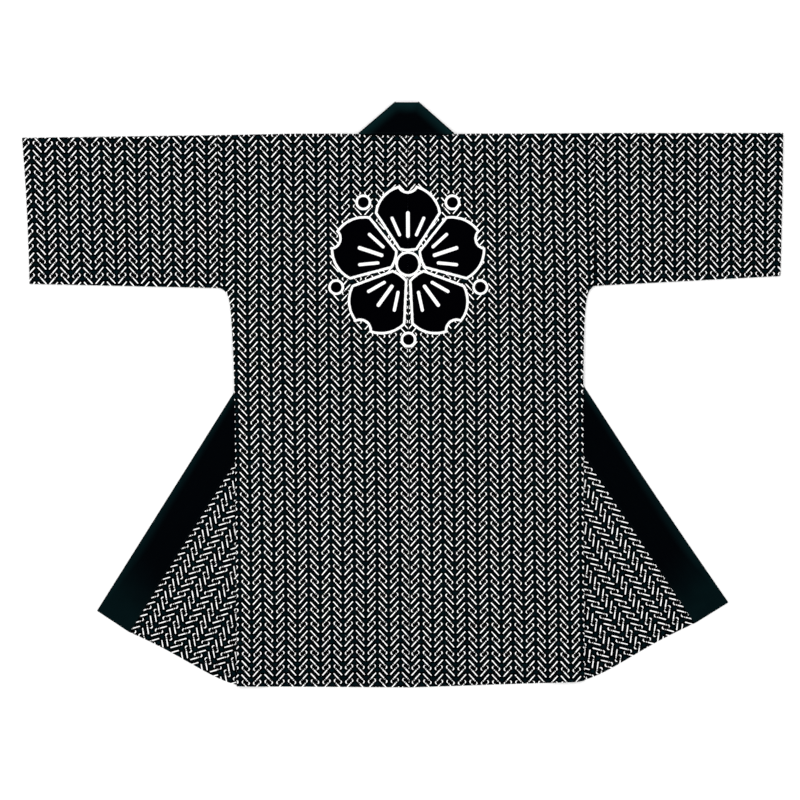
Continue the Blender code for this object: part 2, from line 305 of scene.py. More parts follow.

# %% [markdown]
# ## Where the print lands on each piece
#
# The print is one small repeat: slanting bars with a hooked head, in columns that lean left and
# right by turns, so that they read as arrowheads. It was printed on the length of cloth before
# cutting, so it follows the cloth and not the room. Each piece therefore carries a UV map in
# metres of cloth, called "cloth", in which a peak of the arrowheads stands at every whole column
# pitch, and a row of hooks at every whole row pitch. A second map, "crest", measures from the
# middle of the large flower on the back. Everywhere but on the back it points a metre away.
# A third, "seams", gives the distance from the centre back seam and from the sleeve's or neck's
# seam. There the last millimetre of print is left out: partly the print turning down into the seam,
# partly painted shade in the seam's groove. On the collar it gives the distance from the free edge
# and from the nearer end.

# %% Pitch of the print
COLUMN_PITCH = 0.0377
ROW_PITCH = 0.0238
CREST_DEPTH = 0.2150
AWAY = 1.0

Print = namedtuple("Print", [
    "peak",    # how far out the first column's peak is at the shoulder line
    "lean",    # how much it moves out for each metre down
    "fan",     # how much more it moves for each metre out
    "pitch",   # from peak to peak
    "row",     # how deep down the first row of hooks is, at the centre
    "tilt",    # how much the rows rise for each metre out
    "twist",   # how much less they rise for each metre down
    "rise",    # from row to row
])
PRINTS = {
    "body_right": Print(0.0148, 0.0047, 0.0093, 0.03756, 0.0247, 0.0206, 0.0385, 0.02378),
    "body_left": Print(0.0174, -0.0018, -0.0168, 0.03832, 0.0260, 0.0089, 0.0243, 0.02369),
    "sleeve_right": Print(0.3460, 0.0365, -0.0930, 0.03797, 0.0162, -0.0051, 0.0497, 0.02295),
    "sleeve_left": Print(0.3515, 0.0260, -0.1007, 0.03862, 0.0250, 0.0152, 0.0844, 0.02298),
}
# On the flap the columns run along the collar's seam: the first peak inside it, the first row,
# and how much the columns move in for each metre of the flap's lower part
FLAP_PRINTS = {"body_right": (0.0172, 0.0015, -0.0135), "body_left": (0.0106, 0.0217, 0.0065)}
FLAP_LEAN_FROM = 0.50
FLAP_ON = (2, 8)          # whole columns and rows further on in the cloth, so its wobble differs
# The body's cloth sways a little in and out and up and down along its length
SWAY_FROM, SWAY_LENGTH, SWAY_OUT, SWAY_DOWN = 0.050, 0.680, 0.0034, 0.0010


def cloth_spot(half, piece, u, v):
    """Cloth coordinates of a point that lies flat in the plan"""
    p = PRINTS[piece]
    if piece.startswith("body"):
        sway = cos(2 * pi * (v - SWAY_FROM) / SWAY_LENGTH)
        u, v = u * (1 + SWAY_OUT * sway), v - SWAY_DOWN * sway
    across = (u - p.peak - p.lean * v - p.fan * u * v) * COLUMN_PITCH / p.pitch
    down = (v - p.row + p.tilt * u - p.twist * u * v) * ROW_PITCH / p.rise
    return half.sign * across, down


def flap_spot(half, piece, u, v):
    """Cloth coordinates on the flap, measured from the collar's seam and along it"""
    inside = -past((u, v), half.crease_seam, half.end_seam)
    seam = unit(half.crease_seam, half.end_seam)
    along = (u - half.crease_seam[0]) * seam[0] + (v - half.crease_seam[1]) * seam[1]
    peak, row, lean = FLAP_PRINTS[piece]
    peak += lean * max(along - FLAP_LEAN_FROM, 0)
    return (half.sign * (inside - peak + FLAP_ON[0] * COLUMN_PITCH),
            along - row + FLAP_ON[1] * ROW_PITCH)


def front_spot(half, piece, u, v):
    """Cloth coordinates on the front: the flap's, carried on round the crease"""
    corner = apex(half)
    fold = unit(corner, (half.crease_hem, HEM - half.hem_rise))
    out, down = u - corner[0], v - corner[1]
    beyond = out * fold[1] - down * fold[0] + pi * LAYER / 2
    along = out * fold[0] + down * fold[1]
    mirrored = (corner[0] + along * fold[0] - beyond * fold[1],
                corner[1] + along * fold[1] + beyond * fold[0])
    t = min(max(v / corner[1], 0), 1)
    return mix(cloth_spot(half, piece, u, v), flap_spot(half, piece, *mirrored), t * t * (3 - 2 * t))


print("repeat of the print:", COLUMN_PITCH, "m wide and", ROW_PITCH, "m high")

# %% Distance from the seams
SHOULDER_DROP_START = 0.6
NECK_DIP, NECK_DIP_WIDTH = 0.0018, 0.115
NECK_BARE = 0.0012        # how much wider the bare strip is along the neck's seam


def shoulder_drop(half, u):
    """How much the shoulder line has dropped, towards the sleeve and where the neck pulls it"""
    along = (u / half.armhole - SHOULDER_DROP_START) / (1 - SHOULDER_DROP_START)
    neck = max(1 - (u / NECK_DIP_WIDTH) ** 2, 0)
    return half.shoulder_drop * min(max(along, 0), 1) + NECK_DIP * neck


def from_armhole(half, u, v):
    """How far out a point is from the sleeve's seam; below the underarm there is none"""
    seam = half.armhole + (half.armhole_low - half.armhole) * v / half.underarm
    return u - seam - max(v - half.underarm, 0)


def from_seams(half, u, v):
    """How far a point of the back is from the sleeve's seam or the neck's seam"""
    armhole = -from_armhole(half, u, v)
    return min(armhole, v - shoulder_drop(half, u) - NECK_BARE) if u < half.neck else armhole


print("the neck's seam dips", round(shoulder_drop(RIGHT, 0) * 1000, 1), "mm at the centre")

# %% [markdown]
# ## From a grid to a piece of cloth
#
# Every piece starts as Blender's grid primitive, which is then shaped point by point from the
# plan. The three UV maps are written on the grid's own corners before its double points are
# merged, so a tube keeps a clean map across its join. Solidify then gives the sheet its wall,
# with a second material on the reverse side, and Bevel rounds the cut edges so that two sewn
# pieces meet in a fine groove.

# %% Sheets of cloth
def surface(name, columns, rows, place, spots, keep=None, up=None):
    """An open sheet: a grid whose points go to place(i, j), with its three maps from spots"""
    bpy.ops.object.select_all(action="DESELECT")
    bpy.ops.mesh.primitive_grid_add(x_subdivisions=columns, y_subdivisions=rows, size=1)
    item = bpy.context.object
    item.name = item.data.name = name + "_cloth"
    mesh = bmesh.new()
    mesh.from_mesh(item.data)
    where = {v: (round((v.co.x + 0.5) * columns), round((v.co.y + 0.5) * rows)) for v in mesh.verts}
    if keep:
        cut = [f for f in mesh.faces if not keep(min(where[v][0] for v in f.verts),
                                                min(where[v][1] for v in f.verts))]
        bmesh.ops.delete(mesh, geom=cut, context="FACES")
    for old in list(mesh.loops.layers.uv.values()):
        mesh.loops.layers.uv.remove(old)
    maps = [mesh.loops.layers.uv.new(n) for n in ("cloth", "crest", "seams")]
    known = {v: spots(*where[v]) for v in mesh.verts}
    for face in mesh.faces:
        for loop in face.loops:
            for layer, spot in zip(maps, known[loop.vert]):
                loop[layer].uv = spot
    for vert in mesh.verts:
        vert.co = place(*where[vert])
    bmesh.ops.remove_doubles(mesh, verts=mesh.verts, dist=0.00001)
    bmesh.ops.recalc_face_normals(mesh, faces=mesh.faces)
    mesh.normal_update()
    top = max(mesh.faces, key=up) if up else None
    if top is not None and top.normal.z < 0:
        bmesh.ops.reverse_faces(mesh, faces=mesh.faces)
    mesh.to_mesh(item.data)
    mesh.free()
    return item

# %% Walls, rounded edges and folds
EDGE_ROUND = 0.00022
CORNER_ANGLE = 1.0        # radians from which Bevel takes an edge for a corner
SMOOTH_BELOW = 0.9        # radians below which an edge is shaded smooth
FOLD_STEPS = 8


def add_modifier(item, name, kind, **settings):
    """Add one modifier with its settings"""
    made = item.modifiers.new(name, kind)
    for setting, value in settings.items():
        setattr(made, setting, value)


def finish_cloth(item):
    """Give a sheet its wall and rounded edges, and the materials of its face and reverse"""
    for material in (PRINTED, REVERSE):
        item.data.materials.append(material)
    add_modifier(item, "Wall", "SOLIDIFY", thickness=CLOTH, offset=0, use_even_offset=True,
                 material_offset=1)
    add_modifier(item, "Rounded edges", "BEVEL", width=EDGE_ROUND, segments=2,
                 limit_method="ANGLE", angle_limit=CORNER_ANGLE)
    apply_modifiers(item)


def apply_modifiers(item):
    """Apply all modifiers of a piece, in order, and shade it smooth up to sharp corners"""
    bpy.ops.object.select_all(action="DESELECT")
    item.select_set(True)
    bpy.context.view_layer.objects.active = item
    for modifier in list(item.modifiers):
        bpy.ops.object.modifier_apply(modifier=modifier.name)
    bpy.ops.object.shade_smooth_by_angle(angle=SMOOTH_BELOW)
    print(item.name, len(item.data.polygons), "faces")


def turn(axis_point, outward, low_z, high_z, step):
    """A point on a fold from the lower layer (step 0) to the upper (step FOLD_STEPS)"""
    angle = pi * step / FOLD_STEPS
    radius = (high_z - low_z) / 2
    bulge = radius * sin(angle)
    return (axis_point[0] + outward[0] * bulge, axis_point[1] + outward[1] * bulge,
            (high_z + low_z) / 2 - radius * cos(angle))


print("edges are rounded by", EDGE_ROUND * 1000, "mm, and a fold has", FOLD_STEPS, "steps")

# %% [markdown]
# ## Nodes, colours and the shape of one printed bar
#
# Colours are written as the hex values a paint program shows, and one function turns them to
# the linear values that shaders work in. One more function adds any node with its settings and
# links, so that each material reads as a list of steps.
#
# The print could be an image, but here it is drawn by nodes, as distances: for each point the
# nodes work out how far it is from the edge of the nearest mark, and the ink lies where that is
# below zero. One mark is a bar with a square start and a round end, a small square before it,
# and a crescent beside that. It is drawn twice in each repeat, once turned by half a turn.

# %% Helpers for materials
# The kinds of node that are used most, and their usual settings
MATH, VECTOR, NOISE = "ShaderNodeMath", "ShaderNodeVectorMath", "ShaderNodeTexNoise"
SPLIT, JOIN, MAP = "ShaderNodeSeparateXYZ", "ShaderNodeCombineXYZ", "ShaderNodeUVMap"
RANGE, MIX = "ShaderNodeMapRange", "ShaderNodeMix"
SOFT, FLAT = {"interpolation_type": "SMOOTHSTEP"}, {"noise_dimensions": "2D"}
RGB = {"data_type": "RGBA"}


def linear(hex_colour):
    """sRGB hex to linear RGBA"""
    parts = [int(hex_colour[i:i + 2], 16) / 255 for i in (1, 3, 5)]
    return (*(p / 12.92 if p <= 0.04045 else ((p + 0.055) / 1.055) ** 2.4 for p in parts), 1)


def add_node(tree, kind, settings=None, inputs=()):
    """Add one node and give its outputs. The settings may be just the name of its operation.
    The inputs come in the order of its sockets or by name: a plain value, or a node's output."""
    made = tree.nodes.new(kind)
    if isinstance(settings, str):
        settings = {"operation": settings}
    for name, value in (settings or {}).items():
        setattr(made, name, value)
    for name, value in inputs.items() if isinstance(inputs, dict) else enumerate(inputs):
        if isinstance(value, bpy.types.NodeSocket):
            tree.links.new(value, made.inputs[name])
        else:
            made.inputs[name].default_value = value
    return made.outputs


print("mid grey is", round(linear("#808080")[0], 3), "in linear values")

# %% One printed mark, drawn with discs and rods
def distance_group(name, *outputs):
    """An empty node group from a spot to some distances, and the spot"""
    tree = bpy.data.node_groups.new(name, "ShaderNodeTree")
    tree.interface.new_socket("Spot", in_out="INPUT", socket_type="NodeSocketVector")
    for output in outputs:
        tree.interface.new_socket(output, in_out="OUTPUT", socket_type="NodeSocketFloat")
    return tree, add_node(tree, "NodeGroupInput")["Spot"]


def disc(tree, spot, centre, radius, hole=False):
    """How far a spot is outside a disc, or inside it where the disc is a hole"""
    away = add_node(tree, VECTOR, "DISTANCE", (spot, centre))["Value"]
    return add_node(tree, MATH, "SUBTRACT", (radius, away) if hole else (away, radius))[0]


def rod(tree, x, y, start, end, half):
    """How far a spot is outside a rod with round ends, along X from start to end"""
    nearest = add_node(tree, "ShaderNodeClamp", None, (x, start, end))[0]
    beyond = add_node(tree, MATH, "SUBTRACT", (x, nearest))[0]
    away = add_node(tree, JOIN, None, (beyond, y))[0]
    away = add_node(tree, VECTOR, "LENGTH", (away,))["Value"]
    return add_node(tree, MATH, "SUBTRACT", (away, half))[0]


def turned_axes(tree, spot, origin, angle):
    """How far a spot is along and beside a line that leaves an origin at an angle"""
    turned = add_node(tree, "ShaderNodeMapping", {"vector_type": "TEXTURE"}, {
        "Vector": spot, "Location": origin, "Rotation": (0, 0, angle)})[0]
    x, y, _ = add_node(tree, SPLIT, None, (turned,))
    return x, y


# In millimetres from the middle of the motif
BAR_START, BAR_TURN = (-1.3, 4.35, 0), 0.842
BAR_LENGTH, BAR_HALF = 11.45, 0.91
FAR_BACK = -100           # a start so far back that only the bar's other end is round
BLOCK_BEFORE, BLOCK_HALF = 1.95, 0.81
CRESCENT_AT, CRESCENT_RADIUS = (-3.9, -1.15, 0), 2.77
HOLLOW_AT, HOLLOW_RADIUS = (-1.25, -0.85, 0), 3.62


def printed_mark():
    """A node group: how far a spot is from the edge of one mark, negative inside"""
    tree, spot = distance_group("printed_mark", "Distance")
    x, y = turned_axes(tree, spot, BAR_START, BAR_TURN)
    start = add_node(tree, MATH, "MULTIPLY", (x, -1))[0]
    bar = rod(tree, x, y, FAR_BACK, BAR_LENGTH, BAR_HALF)
    bar = add_node(tree, MATH, "MAXIMUM", (bar, start))[0]
    block = add_node(tree, MATH, "ADD", (x, BLOCK_BEFORE))[0]
    block = add_node(tree, MATH, "ABSOLUTE", (block,))[0]
    side = add_node(tree, MATH, "ABSOLUTE", (y,))[0]
    block = add_node(tree, MATH, "MAXIMUM", (block, side))[0]
    block = add_node(tree, MATH, "SUBTRACT", (block, BLOCK_HALF))[0]
    moon = disc(tree, spot, CRESCENT_AT, CRESCENT_RADIUS)
    hollow = disc(tree, spot, HOLLOW_AT, HOLLOW_RADIUS, hole=True)
    moon = add_node(tree, MATH, "MAXIMUM", (moon, hollow))[0]
    nearest = add_node(tree, MATH, "MINIMUM", (bar, block))[0]
    nearest = add_node(tree, MATH, "MINIMUM", (nearest, moon))[0]
    add_node(tree, "NodeGroupOutput", None, (nearest,))
    return tree


MARK = printed_mark()
print("one mark takes", len(MARK.nodes), "nodes")

# %% [markdown]
# ## The flower on the back
#
# A festival coat carries one big crest between the shoulders. This one is a plain five-petal
# flower, black with a white outline and white slots, about 25 cm across. Folding the angle round
# the centre back and forth (ping-pong) lets one petal stand for all five: a petal is a circle
# trimmed by two straight sides and notched at its tip.

# %% The flower, in millimetres from its middle
PETALS = 5
PETAL_AT, PETAL_RADIUS, PETAL_SIDE = (76, 0, 0), 55, 0.580
NOTCH_AT, NOTCH_RADIUS = (135, 0, 0), 15
BUD_AT, BUD_RADIUS, EYE_RADIUS = (101.1, 73.5, 0), 13, 21
SLOT_FROM, SLOT_TO, SLOT_HALF = 46, 84, 3.0
SIDE_SLOT_AT, SIDE_SLOT_TURN, SIDE_SLOT_LENGTH, SIDE_SLOT_HALF = (48, 14, 0), 0.42, 30, 2.6
OUTLINE = 4.0


def flower_crest():
    """A node group: distance to the flower's edge, and to its white slots, negative inside"""
    tree, spot = distance_group("flower_crest", "Edge", "Slots")
    x, y, _ = add_node(tree, SPLIT, None, (spot,))
    up = add_node(tree, MATH, "MULTIPLY", (y, -1))[0]
    angle = add_node(tree, MATH, "ARCTAN2", (x, up))[0]
    angle = add_node(tree, MATH, "PINGPONG", (angle, pi / PETALS))[0]
    radius = add_node(tree, VECTOR, "LENGTH", (spot,))["Value"]
    cosine, sine = (add_node(tree, MATH, part, (angle,))[0] for part in ("COSINE", "SINE"))
    out, aside = (add_node(tree, MATH, "MULTIPLY", (radius, part))[0] for part in (cosine, sine))
    petal = add_node(tree, JOIN, None, (out, aside))[0]
    side = add_node(tree, VECTOR, "DOT_PRODUCT", (
        petal, (-sin(PETAL_SIDE), cos(PETAL_SIDE), 0)))["Value"]
    notch = disc(tree, petal, NOTCH_AT, NOTCH_RADIUS, hole=True)
    bud = disc(tree, petal, BUD_AT, BUD_RADIUS)
    eye = add_node(tree, MATH, "SUBTRACT", (radius, EYE_RADIUS))[0]
    edge = disc(tree, petal, PETAL_AT, PETAL_RADIUS)
    # MAXIMUM trims a shape by another, and MINIMUM joins two
    for operation, other in (("MAXIMUM", side), ("MAXIMUM", notch), ("MINIMUM", bud), ("MINIMUM", eye)):
        edge = add_node(tree, MATH, operation, (edge, other))[0]
    x, y = turned_axes(tree, petal, SIDE_SLOT_AT, SIDE_SLOT_TURN)
    slots = add_node(tree, MATH, "MINIMUM", (
        rod(tree, out, aside, SLOT_FROM, SLOT_TO, SLOT_HALF),
        rod(tree, x, y, 0, SIDE_SLOT_LENGTH, SIDE_SLOT_HALF)))[0]
    add_node(tree, "NodeGroupOutput", None, (edge, slots))
    return tree


FLOWER = flower_crest()
print("the flower takes", len(FLOWER.nodes), "nodes")

# %% [markdown]
# ## Screen-printed cotton
#
# The cloth is a plain-woven cotton, dyed almost black, with thicker threads here and there that
# show as faint upright streaks. The marks are opaque white ink. Cotton has an IOR near 1.5 and
# no metal, but its fibres trap most of the mirror-like light, so the specular level is set very
# low and the roughness high. Without that, a black cloth under a white sky turns grey.
#
# The weave is drawn with threads 0.8 mm apart. Real ones are about half that, too fine to show.

# %% Weave and shader of both cottons
THREAD = 0.8              # millimetres from thread to thread
SLUB_ACROSS = 0.9         # slubs to a millimetre across the cloth
WEAVE_RELIEF = 0.35       # how high one thread stands, against a slub
FIBRE = {"IOR": 1.5, "Metallic": 0}    # typical of cotton


def new_material(name):
    """A material without nodes, and its tree"""
    material = bpy.data.materials.new(name)
    material.use_nodes = True
    material.node_tree.nodes.clear()
    return material, material.node_tree


def woven(tree, slub_along):
    """Cloth coordinates in millimetres; its weave, a fine ripple both ways; and its slubs, noise
    drawn out along the length"""
    cloth = add_node(tree, MAP, {"uv_map": "cloth"})[0]
    cloth = add_node(tree, VECTOR, "SCALE", {0: cloth, "Scale": 1000})[0]
    ripple = add_node(tree, VECTOR, "SCALE", {0: cloth, "Scale": 2 * pi / THREAD})[0]
    ripple = add_node(tree, VECTOR, "SINE", (ripple,))[0]
    x, y, _ = add_node(tree, SPLIT, None, (ripple,))
    weave = add_node(tree, MATH, "MULTIPLY", (x, y))[0]
    drawn = add_node(tree, "ShaderNodeMapping", None, {
        "Vector": cloth, "Scale": (SLUB_ACROSS, slub_along, 1)})[0]
    slub = add_node(tree, NOISE, FLAT, {"Vector": drawn, "Scale": 1, "Detail": 3})["Fac"]
    return cloth, weave, slub


def fibre_shader(tree, colour, relief, roughness, specular=0.01, strength=0.35, depth=0.00012):
    """Bump from a relief, and the matt shader of a fibre"""
    bump = add_node(tree, "ShaderNodeBump", None, {
        "Strength": strength, "Distance": depth, "Height": relief})[0]
    shader = add_node(tree, "ShaderNodeBsdfPrincipled", None, {
        "Base Color": colour, "Normal": bump, "Roughness": roughness,
        "Specular IOR Level": specular, **FIBRE})[0]
    add_node(tree, "ShaderNodeOutputMaterial", None, {"Surface": shader})


print("threads to a centimetre:", 10 / THREAD)

# %% Where the ink lies, in millimetres
INK_BLEED = 0.12          # half the width over which an ink edge fades
DRIFT = 2.0               # how far the print drifts in all, as the cloth moved under the screen
DRIFT_SIZE = 0.011        # waves of that drift to a millimetre
HALF_COLUMN, HALF_ROW = COLUMN_PITCH * 500, ROW_PITCH * 500
REPEAT_MIDDLE = 4.9       # the middle of a repeat's rows, so that it is cut between two marks
SEAM_BARE = 0.0013        # metres of bare cloth on either side of a seam, a dark strip that is partly painted seam shade


def nearest_mark(tree, cloth):
    """How far a point of the cloth is from the nearest mark"""
    drift = add_node(tree, NOISE, FLAT, {"Vector": cloth, "Scale": DRIFT_SIZE, "Detail": 1})["Color"]
    drift = add_node(tree, VECTOR, "SUBTRACT", (drift, (0.5, 0.5, 0.5)))[0]
    drift = add_node(tree, VECTOR, "SCALE", {0: drift, "Scale": DRIFT})[0]
    drawn = add_node(tree, VECTOR, "ADD", (cloth, drift))[0]
    x, y, _ = add_node(tree, SPLIT, None, (drawn,))
    across = add_node(tree, MATH, "PINGPONG", (x, HALF_COLUMN))[0]
    across = add_node(tree, MATH, "SUBTRACT", (across, HALF_COLUMN / 2))[0]
    marks = []
    for facing in (1, -1):
        aside = add_node(tree, MATH, "MULTIPLY", (across, facing))[0]
        down = add_node(tree, MATH, "MULTIPLY", (y, facing))[0]
        down = add_node(tree, MATH, "WRAP", (
            down, REPEAT_MIDDLE + HALF_ROW, REPEAT_MIDDLE - HALF_ROW))[0]
        spot = add_node(tree, JOIN, None, (aside, down))[0]
        marks.append(add_node(tree, "ShaderNodeGroup", {"node_tree": MARK}, (spot,))[0])
    return add_node(tree, MATH, "MINIMUM", marks)[0]


def seam_shade_gap(tree):
    """Zero in the last bit before a seam, and else one: the print turns into the seam there, and the
    bare dark strip is partly painted shade in the seam's groove
    """
    seams = add_node(tree, MAP, {"uv_map": "seams"})[0]
    x, y, _ = add_node(tree, SPLIT, None, (seams,))
    nearest = add_node(tree, MATH, "MINIMUM", (x, y))[0]
    return add_node(tree, RANGE, SOFT, (nearest, SEAM_BARE / 2, SEAM_BARE))[0]


def flower_ink(tree, ragged):
    """How much of a spot is covered by the flower, and how much by its black"""
    crest = add_node(tree, MAP, {"uv_map": "crest"})[0]
    crest = add_node(tree, VECTOR, "SCALE", {0: crest, "Scale": 1000})[0]
    edge, slots = add_node(tree, "ShaderNodeGroup", {"node_tree": FLOWER}, (crest,))
    edge = add_node(tree, MATH, "ADD", (edge, ragged))[0]
    inside = add_node(tree, RANGE, SOFT, (edge, INK_BLEED, -INK_BLEED))[0]
    within = add_node(tree, RANGE, SOFT, (edge, INK_BLEED - OUTLINE, -INK_BLEED - OUTLINE))[0]
    solid = add_node(tree, RANGE, SOFT, (slots, -INK_BLEED, INK_BLEED))[0]
    return inside, add_node(tree, MATH, "MULTIPLY", (within, solid))[0]


print("half a repeat of the print:", HALF_COLUMN, "mm wide and", HALF_ROW, "mm high")

# %% Printed cotton, face and reverse
PRINT_SLUB = 0.035        # slubs to a millimetre along the cloth
INK_FUZZ, FUZZ_SIZE = 0.45, 0.15    # how far the ragged ink edge strays, and bumps to a millimetre
SLUB_FROM, SLUB_TO = 0.42, 0.72    # the part of the noise that shows as a thicker thread
WEAVE_STREAK = 0.22       # how much each thread shows in the dye
HALO_FROM, HALO_TO = 1.9, 4.4    # millimetres from a mark, between which its dark ring fades
SHADE_BETWEEN_THREADS = 0.87    # how much of their colour ink and dye keep in the painted shade between the threads
INK_RELIEF = 0.6          # the slight thickness of the ink


def printed_cotton(name, ink, ground, streak, deep, crest_black):
    """The printed cloth; the reverse is the same with paler ink and ground"""
    material, tree = new_material(name)
    cloth, weave, slub = woven(tree, PRINT_SLUB)
    slub = add_node(tree, RANGE, SOFT, (slub, SLUB_FROM, SLUB_TO))[0]
    ragged = add_node(tree, NOISE, FLAT, {"Vector": cloth, "Scale": FUZZ_SIZE, "Detail": 4})["Fac"]
    ragged = add_node(tree, MATH, "MULTIPLY_ADD", (ragged, 2 * INK_FUZZ, -INK_FUZZ))[0]
    marks = add_node(tree, MATH, "ADD", (nearest_mark(tree, cloth), ragged))[0]
    inked = add_node(tree, RANGE, SOFT, (marks, INK_BLEED, -INK_BLEED))[0]
    # The flower keeps the marks out, and adds its white outline and slots
    inside, black = flower_ink(tree, ragged)
    clear = add_node(tree, MATH, "SUBTRACT", (1, black))[0]
    # Near the seams the ink is left out, and the dark strip is partly painted seam shade
    for operation, other in (("MULTIPLY", seam_shade_gap(tree)), ("MAXIMUM", inside), ("MULTIPLY", clear)):
        inked = add_node(tree, MATH, operation, (inked, other))[0]
    # Round each mark the wet ink has drawn the dye darker
    threads = add_node(tree, MATH, "MULTIPLY_ADD", (weave, WEAVE_STREAK, slub))[0]
    halo = add_node(tree, RANGE, SOFT, (marks, HALO_TO, HALO_FROM))[0]
    colour = linear(ground)
    for share, layer in ((threads, streak), (halo, deep), (black, crest_black), (inked, ink)):
        colour = add_node(tree, MIX, RGB, {0: share, 6: colour, 7: linear(layer)})[2]
    # Painted shade: ink and dye are darkened between the threads, where the weave dips
    shade = add_node(tree, RANGE, None, (weave, -1, 1, SHADE_BETWEEN_THREADS))[0]
    colour = add_node(tree, VECTOR, "SCALE", {0: colour, "Scale": shade})[0]
    relief = add_node(tree, MATH, "MULTIPLY_ADD", (weave, WEAVE_RELIEF, slub))[0]
    relief = add_node(tree, MATH, "MULTIPLY_ADD", (inked, INK_RELIEF, relief))[0]
    fibre_shader(tree, colour, relief, roughness=0.88)
    return material


PRINTED = printed_cotton("screen_printed_cotton",
                         "#ffffff", "#010c10", "#061a1f", "#000000", "#000002")
REVERSE = printed_cotton("screen_printed_cotton_reverse",
                         "#2b3134", "#0a1115", "#131d21", "#080e12", "#0a0e10")
print(PRINTED.name, "takes", len(PRINTED.node_tree.nodes), "nodes")

# %% [markdown]
# ## The body panels
#
# Back and front are one length of cloth, folded over the shoulder, so there is no shoulder seam.
# Below the collar the front is folded outwards along a long slanting crease, and what was its
# inner part lies lowest, as a flap. All of that is a single sheet: the rows run from the hem of
# the back up over the shoulder and down the front, and the inner columns of the front's rows
# are the flap and the turn of the crease.

# %% Rows and columns of a body panel
FLAP_COLUMNS = 24
OUTER_COLUMNS = 26
INNER_COLUMNS = FLAP_COLUMNS + FOLD_STEPS
HEM_CORNER = 0.24         # how much of the hem's rise comes in its last stretch, at the corner
CORNER_REACH = 0.022
RISE_LATE, CORNER_LATE, ROUND_LATE = 4, 40, 8    # powers: how late, on the way down, they start
Stretch = namedtuple("Stretch", ["rows", "crowding"])
TO_CREASE, TO_UNDERARM, UNDERARM = Stretch(24, 1), Stretch(5, 1), Stretch(12, 2)
WAIST, TO_HEM = Stretch(11, 1), Stretch(50, 1)
UNDERARM_LENGTH, WAIST_LENGTH = 0.060, 0.108


def row_depths(half):
    """Depths of the rows, with rows at the crease's start and the underarm"""
    waist = half.underarm + UNDERARM_LENGTH
    stops = [(TO_CREASE, apex(half)[1]), (TO_UNDERARM, half.underarm), (UNDERARM, waist),
             (WAIST, waist + WAIST_LENGTH), (TO_HEM, HEM - half.hem_rise - HEM_ROWS[0][0])]
    depths = [0.0]
    for stretch, end in stops:
        begin = depths[-1]
        for i in range(1, stretch.rows + 1):
            depths.append(begin + (end - begin) * (i / stretch.rows) ** stretch.crowding)
    return depths + [HEM - half.hem_rise - above for above, _ in HEM_ROWS[1:]]


def hem_shape(half, u, v):
    """How much lower than a row's depth at the side the row lies, towards the centre"""
    side, down = side_edge(half, v), v / (HEM - half.hem_rise)
    corner = max(1 - (side - u) / CORNER_REACH, 0)
    rise = (1 - u / side) * down ** RISE_LATE - HEM_CORNER * corner ** 2 * down ** CORNER_LATE
    return half.hem_rise * rise


def flap_round(half, out):
    """How much the flap's lower edge rounds out, a part out of the way to the collar"""
    return half.hem_round * out * (1 - out) ** 3


print("a body panel has", len(row_depths(RIGHT)), "rows from shoulder to hem")

